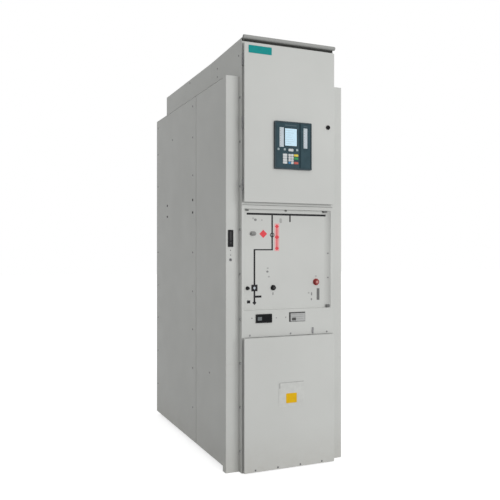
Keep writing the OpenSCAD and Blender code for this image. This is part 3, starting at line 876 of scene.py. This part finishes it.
# The red column on its pink strip: the heights and sizes of its signs
COLUMN_X = -64
COLUMN_HALF = 3
COLUMN_Z = (1216, 1336)
COLUMN_SIGNS = ((1336, 12), (1277, 14), (1215, 12))
PINK_HALF = 14
PINK_Z = (1200, 1352)
bm = bmesh.new()
ink(bm, about(COLUMN_X, PINK_HALF), PINK_Z, PINK_T)
piece("mimic_pink_strip", bm, ink_pink)
bm = bmesh.new()
ink(bm, about(COLUMN_X, COLUMN_HALF), COLUMN_Z, COLUMN_T)
for z, reach in COLUMN_SIGNS:
    diamond(bm, COLUMN_X, z, reach, SIGN_T)
piece("mimic_red_column", bm, ink_red)

SMALL_MARKS = (
    ((-203, -186), (1364, 1377)), ((-129, -115), (1081, 1092)), ((-91, -85), (956, 972)),
    ((150, 158), (948, 966)), ((149, 157), (921, 933)),
)
PALE_MARKS = (
    ((-213, -203), (1374, 1384)), ((-160, -151), (1366, 1374)), ((-48, -33), (1355, 1382)),
    ((-126, -114), (1101, 1110)), ((-119, -107), (1054, 1063)),
    ((130, 141), (958, 968)), ((175, 188), (1054, 1061)),
)
MARK_ROUND = 0.45
for name, marks, tone in (("board_marks", SMALL_MARKS, ink_grey), ("board_pale_marks", PALE_MARKS, ink_pale)):
    bm = bmesh.new()
    for x, z in marks:
        plate(bm, metres(*x), metres(*z), BOARD_Y, MARK_T, corner=MARK_ROUND * (x[1] - x[0]) * MM)
    piece(name, bm, tone)

DARK_STRIP = ((187, 205), (922, 988))
bm = bmesh.new()
ink(bm, *DARK_STRIP, DARK_STRIP_T)
piece("board_dark_strip", bm, ink_mid)

# The clips' middles, half widths and half heights. Those on the rounded side reach further forward.
BOARD_CLIPS = ((-245, 1422, 9, 4), (-10, 1424, 6, 4), (236, 1423, 12, 4), (254, 887, 11, 8))
CLIP_T = 5 * MM
COVE_CLIP_T = 14 * MM
bm = bmesh.new()
for x, z, half_w, half_h in BOARD_CLIPS:
    plate(bm, metres(*about(x, half_w)), metres(*about(z, half_h)), BOARD_Y,
          CLIP_T if x < COVE_X else COVE_CLIP_T, corner=2 * MM, edge=1 * MM)
piece("board_clips", bm, ink_mid)


# The fascia below the board: the indicator's window and the rating plate

indicator_low, indicator_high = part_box("voltage_indicator")
INDICATOR_SUNK = 2 * MM
WINDOW_IN = 6 * MM
WINDOW_T = 0.8 * MM
WINDOW_Y = indicator_low.y + INDICATOR_SUNK
window_x = inset((indicator_low.x, indicator_high.x), WINDOW_IN)
window_z = inset((indicator_low.z, indicator_high.z), WINDOW_IN)
readout = ((window_x[0] + 4 * MM, window_x[0] + 29 * MM), (window_z[0] + 8 * MM, window_z[1] - 9 * MM))
plates("indicator_window", [(window_x, window_z)], WINDOW_Y, dark_glass,
       thick=WINDOW_T, corner=1.5 * MM, edge=0.3 * MM)
plates("indicator_display", [readout], WINDOW_Y - WINDOW_T, small_display,
       thick=0.2 * MM, corner=1.0 * MM)

RATING_X = metres(2, 103)
RATING_Z = metres(806, 860)
RATING_RIM_T = 1.0 * MM
RATING_T = 0.4 * MM
RULE_HEIGHTS = metres(822, 834, 846)
RULE_HALF = 0.8 * MM
RULE_X = (RATING_X[0] + 14 * MM, RATING_X[1] - 12 * MM)
RATING_FIELD = (metres(20, 45), metres(813, 829))
RATING_Y = FASCIA_Y - RATING_RIM_T
PRINT_Y = RATING_Y - RATING_T
rating = ((RATING_X[0] + 10 * MM, RATING_X[1] - 1.6 * MM), (RATING_Z[0] + 2.8 * MM, RATING_Z[1] - 7.2 * MM))
rules = [(RULE_X, about(z, RULE_HALF)) for z in RULE_HEIGHTS]
plates("rating_plate_rim", [(RATING_X, RATING_Z)], FASCIA_Y, ink_dark,
       thick=RATING_RIM_T, corner=1.5 * MM, edge=0.3 * MM)
plates("rating_plate", [rating], RATING_Y, steel_plate,
       thick=RATING_T, corner=1.0 * MM, edge=0.15 * MM)
plates("rating_plate_rules", rules, PRINT_Y, ink_grey,
       thick=0.1 * MM)
plates("rating_plate_field", [RATING_FIELD], PRINT_Y, ink_dark,
       thick=0.2 * MM, corner=1.0 * MM)


# The cable cover's plates

COVER_PLATE = (metres(-73, 85), metres(343, 481))
COVER_PLATE_T = 1.2 * MM
COVER_PLATE_Y = COVER_Y - COVER_PLATE_T
# The line along the plate's top is painted shadow under its top edge; the short piece down its left end is a
# dark mark on the plate.
PLATE_SHADOW_AND_MARK = ((metres(-66, 80), metres(474, 478)), (metres(-72, -64), metres(446, 474)))
YELLOW_PLATE = (metres(-29, 37), metres(362, 416))
plates("pale_cover_plate", [COVER_PLATE], COVER_Y, pale_plate,
       thick=COVER_PLATE_T, corner=3 * MM, edge=0.4 * MM)
plates("cover_plate_shadow_and_mark", PLATE_SHADOW_AND_MARK, COVER_PLATE_Y, ink_pale,
       thick=0.3 * MM)
plates("blank_yellow_plate", [YELLOW_PLATE], COVER_PLATE_Y, yellow_plate,
       thick=0.8 * MM, corner=5 * MM, edge=0.3 * MM)


# Screws and bolts

# A domed head with a round socket, as shares of the radius and the reach
HEAD_PROFILE = (
    (0.0, 0.45), (0.42, 0.45), (0.46, 0.95), (0.62, 1.0), (0.90, 0.70), (1.0, 0.30), (1.0, 0.0), (0.0, 0.0),
)


def head(bm, place, facing, radius, reach):
    turned(bm, place, facing, scaled(HEAD_PROFILE, radius, reach), HEAD_TURN)


def heads(name, places, facing, radius, reach, material=bolt_steel):
    """One piece made of a screw head at each place."""
    bm = bmesh.new()
    for place in places:
        head(bm, Vector(place), facing, radius, reach)
    piece(name, bm, material)


# The radius of each kind of head, and how far it stands out
SCREW = 5 * MM
SCREW_REACH = 2.5 * MM
BOLT = 7.5 * MM
BOLT_REACH = 4 * MM
SMALL_SCREW = 3.5 * MM
NOSE_SCREW = 3 * MM
SMALL_REACH = 1.5 * MM

FASCIA_SCREW_X = metres(-235, 12, 242)
FASCIA_SCREW_Z = 742 * MM
heads("fascia_screws", [(x, FASCIA_Y, FASCIA_SCREW_Z) for x in FASCIA_SCREW_X], FRONT, SCREW, SCREW_REACH)
FIXINGS = (metres(-223, 835), metres(-76, 832), metres(-18, 833))
heads("instrument_screws", [(x, FASCIA_Y, z) for x, z in FIXINGS], FRONT, SMALL_SCREW, SMALL_REACH)
TURN_LOCK = (metres(146, 156), metres(735, 770))
plates("fascia_turn_lock", [TURN_LOCK], FASCIA_Y, dark_steel,
       thick=4 * MM, corner=3 * MM, edge=1 * MM)
NOSE_SCREW_Z = metres(1178, 1204)
heads("nose_lock_screws", [(BARREL_X, NOSE_Y, z) for z in NOSE_SCREW_Z], FRONT, NOSE_SCREW, SMALL_REACH,
      dark_steel)
FOOT_SCREW_X = metres(-212, -78, 60, 196)
FOOT_SCREW_Z = 16 * MM
heads("cover_foot_screws", [(x, COVER_Y, FOOT_SCREW_Z) for x in FOOT_SCREW_X], FRONT, SCREW, SCREW_REACH,
      dark_steel)

RECESS_SCREW_X = 256
RECESS_SCREW_Z = (1187, 1049)
RECESS_SCREW = 4 * MM
RECESS_REACH = 3 * MM
bm = bmesh.new()
for z in RECESS_SCREW_Z:
    head(bm, *cove_point(RECESS_SCREW_X, z), RECESS_SCREW, RECESS_REACH)
piece("recess_screws", bm, bolt_steel)

# Bolts and screws of the sides. The pairs are the depth behind the door's front, and the height.
POST_BOLT_Z = metres(116, 354, 591, 830, 1074, 1316, 1551, 1792, 2032)
POST_BOLT_Y = middle(FASCIA_Y, NOSE_Y) + 2 * MM
SHEET_SCREWS = (metres(66, 2263), metres(397, 2277), metres(397, 2228), metres(919, 2315))
WALL_SCREW = 6 * MM
WALL_SCREW_Z = metres(233, 476, 716, 951, 1192, 1669, 1904, 2096)
WALL_COLUMNS = (SEAM_Y + 60 * MM, REAR_Y - 32 * MM)
LONE_SCREWS = (metres(327, 500), metres(1071, 1956))
WALL_LOCK = 8 * MM
WALL_LOCK_Z = metres(1439, 1516)
LOCK_COLUMNS = (WALL_COLUMNS[0], DOOR_Y + 1195 * MM)
for name, side, facing in (("left", -1, LEFT), ("right", 1, RIGHT)):
    sheet_x = side * SIDE_X
    wall_x = side * WALL_X
    post_bolts = [(sheet_x, POST_BOLT_Y, z) for z in POST_BOLT_Z]
    heads(f"{name}_post_bolts", post_bolts, facing, BOLT, BOLT_REACH, zinc)
    sheet_screws = [(sheet_x, DOOR_Y + d, z) for d, z in SHEET_SCREWS]
    heads(f"{name}_sheet_screws", sheet_screws, facing, SCREW, SCREW_REACH)
    wall_screws = [(wall_x, y, z) for y in WALL_COLUMNS for z in WALL_SCREW_Z]
    wall_screws += [(wall_x, DOOR_Y + d, z) for d, z in LONE_SCREWS]
    heads(f"{name}_wall_screws", wall_screws, facing, WALL_SCREW, SCREW_REACH)
    wall_locks = [(wall_x, y, z) for y in LOCK_COLUMNS for z in WALL_LOCK_Z]
    heads(f"{name}_wall_locks", wall_locks, facing, WALL_LOCK, SCREW_REACH, graphite)

REAR_IN = 18 * MM
LOWER_ROWS = 6
UPPER_ROWS = 4
lower_low, lower_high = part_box("rear_lower_cover")
upper_low, upper_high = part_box("rear_upper_cover")


def border(low, high, rows):
    """Heights of evenly spaced screws between two edges."""
    return [low + REAR_IN + row * (high - low - 2 * REAR_IN) / (rows - 1) for row in range(rows)]


rear_heights = border(lower_low.z, lower_high.z, LOWER_ROWS) + border(upper_low.z, upper_high.z, UPPER_ROWS)
rear_places = [(side * (lower_high.x - REAR_IN), REAR_Y, z) for side in (-1, 1) for z in rear_heights]
heads("rear_cover_screws", rear_places, REAR, SCREW, SCREW_REACH, dark_steel)


# Floor, light and camera

WHITE = (1.0, 1.0, 1.0)
FLOOR_TONES = ((0.60, 0.60, 0.60), (0.62, 0.62, 0.62))
FLOOR_REACH = 30.0
FLOOR_DROP = 0.5 * MM
FLOOR_GLOW = 0.75
SURROUND = 0.57
LIGHT_PLACE = (3.4, -9.9, 2.5)
LIGHT_AIM = (0.0, -0.3, 1.2)
LIGHT_SIZE = (7.0, 4.8)
LIGHT_POWER = 480.0


def seen_rays(tree):
    """One for rays that show the background: seen directly, mirrored or through glass."""
    path = tree.nodes.new("ShaderNodeLightPath")
    total = path.outputs["Is Camera Ray"]
    for kind in ("Is Glossy Ray", "Is Transmission Ray"):
        total = larger(tree, total, path.outputs[kind])
    return total


def pale_floor():
    """A plain pale floor that keeps the shadow and reads white where it is fully lit."""
    material, tree, bsdf, coords = shader("pale_floor")
    grain = mottle(tree, coords, scale=3.0, detail=3.0)
    tree.links.new(mixed(tree, grain, *FLOOR_TONES), bsdf.inputs["Base Color"])
    bsdf.inputs["Roughness"].default_value = 0.9
    bsdf.inputs["Specular IOR Level"].default_value = 0.0
    bsdf.inputs["Emission Color"].default_value = (*WHITE, 1.0)
    tree.links.new(product(tree, seen_rays(tree), FLOOR_GLOW), bsdf.inputs["Emission Strength"])
    bm = bmesh.new()
    bmesh.ops.create_grid(bm, x_segments=1, y_segments=1, size=FLOOR_REACH)
    bmesh.ops.translate(bm, vec=(0, 0, -FLOOR_DROP), verts=bm.verts)
    mesh = bpy.data.meshes.new("floor")
    bm.to_mesh(mesh)
    bm.free()
    mesh.materials.append(material)
    floor = bpy.data.objects.new("floor", mesh)
    bpy.context.scene.collection.objects.link(floor)


def studio_world(strength):
    """A soft even surround that shows as white."""
    world = bpy.data.worlds.new("studio")
    bpy.context.scene.world = world
    world.use_nodes = True
    tree = world.node_tree
    background = tree.nodes["Background"]
    background.inputs["Color"].default_value = (*WHITE, 1.0)
    shown_strength = spread(tree, seen_rays(tree), low=0.0, high=1.0, to_low=strength, to_high=1.0)
    tree.links.new(shown_strength, background.inputs["Strength"])


def softbox(name, place, aim, size, power):
    """A rectangular light that faces the point it aims at."""
    light = bpy.data.lights.new(name, "AREA")
    light.shape = "RECTANGLE"
    light.size, light.size_y = size
    light.energy = power
    obj = bpy.data.objects.new(name, light)
    bpy.context.scene.collection.objects.link(obj)
    obj.location = place
    obj.rotation_euler = (Vector(aim) - Vector(place)).to_track_quat("-Z", "Y").to_euler()


pale_floor()
studio_world(SURROUND)
softbox("key_softbox", LIGHT_PLACE, LIGHT_AIM, LIGHT_SIZE, LIGHT_POWER)

# The photograph's frame and focal length in pixels, and the place and turn of the eye
PICTURE = 500
FOCAL_PIXELS = 657.77
HORIZON_ROW = 251.53
SENSOR = 36.0
EYE = (-1.6413, DOOR_Y - 3.2477, 1.1971)
EYE_TURN = math.radians(-23.269)
camera = bpy.data.cameras.new("camera")
camera.sensor_fit = "HORIZONTAL"
camera.sensor_width = SENSOR
camera.lens = FOCAL_PIXELS / PICTURE * SENSOR
camera.shift_y = (HORIZON_ROW - PICTURE / 2) / PICTURE
viewpoint = bpy.data.objects.new("camera", camera)
bpy.context.scene.collection.objects.link(viewpoint)
viewpoint.location = EYE
viewpoint.rotation_euler = (RIGHT_ANGLE, 0.0, EYE_TURN)
bpy.context.scene.camera = viewpoint
bpy.context.scene.view_settings.view_transform = "Standard"
